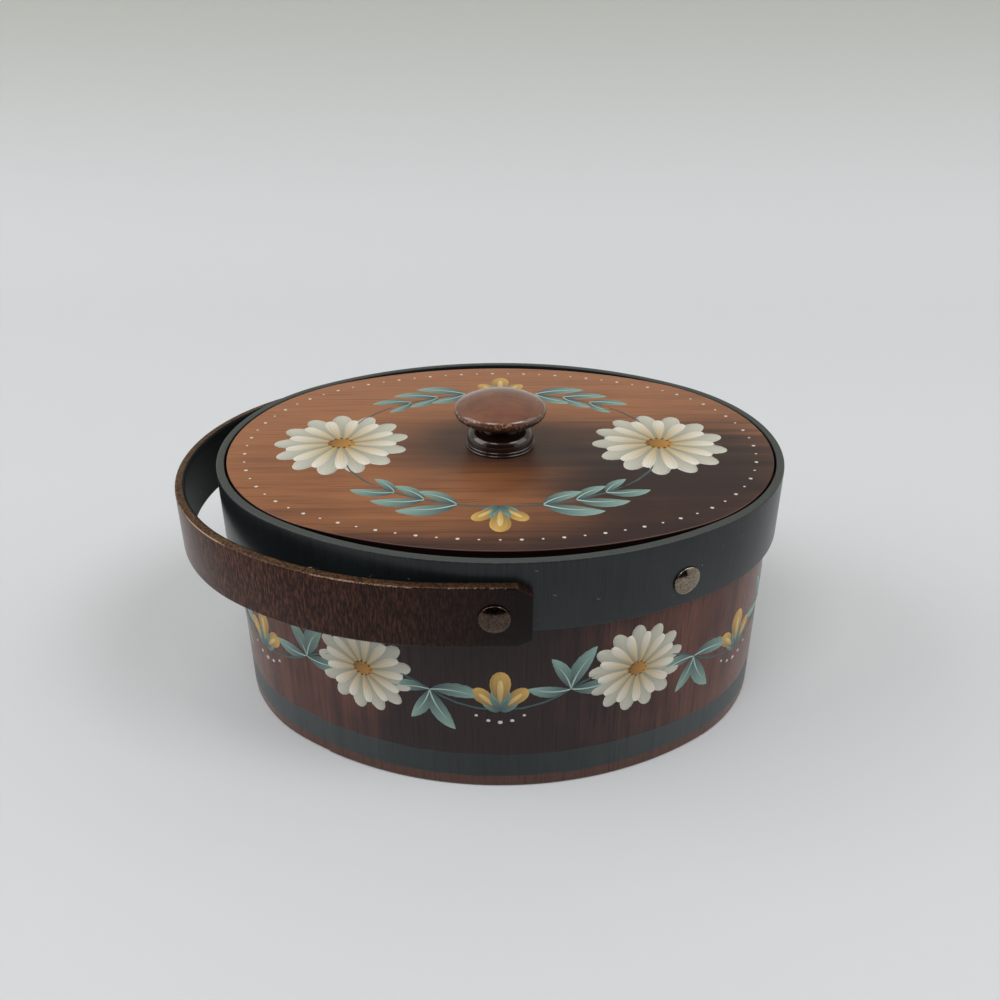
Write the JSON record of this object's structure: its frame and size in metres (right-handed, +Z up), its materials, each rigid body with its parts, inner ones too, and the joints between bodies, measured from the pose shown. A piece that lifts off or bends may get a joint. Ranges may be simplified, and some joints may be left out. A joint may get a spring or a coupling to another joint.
{
  "type": "oval bentwood box with lid and swing handle",
  "caption": "Oval bentwood box with a painted rim band, a drop-in lid with a turned knob, and a bent wooden handle that swings on rivets.",
  "frame": {"origin": "middle of the flat base, on the table", "axes": "+X along the box's length, to the right as seen from the front; +Y to the back; +Z up"},
  "size_m": [0.2494, 0.196, 0.1286],
  "materials": {
    "side_wood": "dark stained veneer, varnished, with a painted stripe",
    "bottom_wood": "stained board, satin",
    "band_paint": "slate green paint, satin, worn at the top edge",
    "handle_wood": "dark walnut stain, varnished",
    "lid_wood": "reddish stain, satin varnish",
    "knob_wood": "turned, stained and varnished, glossy",
    "rivet_brass": "antique brass, darkened",
    "burr_brass": "dull brass",
    "screw_steel": "zinc plated steel"
  },
  "bodies": {
    "box": {"body_side": "side_wood", "bottom_board": "bottom_wood", "rim_band": "band_paint", "front_pivot_rivet": "rivet_brass", "back_pivot_rivet": "rivet_brass", "front_pivot_burr": "burr_brass", "back_pivot_burr": "burr_brass", "front_left_band_rivet": "rivet_brass", "front_right_band_rivet": "rivet_brass", "back_left_band_rivet": "rivet_brass", "back_right_band_rivet": "rivet_brass", "front_left_band_burr": "burr_brass", "front_right_band_burr": "burr_brass", "back_left_band_burr": "burr_brass", "back_right_band_burr": "burr_brass"},
    "handle": {"handle": "handle_wood"},
    "lid": {"lid_board": "lid_wood", "knob": "knob_wood", "knob_screw": "screw_steel"}
  },
  "joints": [
    {"name": "handle_swing", "type": "hinge", "parent": "box", "child": "handle", "pos_m": [-0.002, 0, 0.086], "axis": [0, 1, 0], "range_deg": [-22, 200]},
    {"name": "lid_lift", "type": "slide", "parent": "box", "child": "lid", "axis": [0, 0, 1], "range_m": [0, 0.09]}
  ]
}
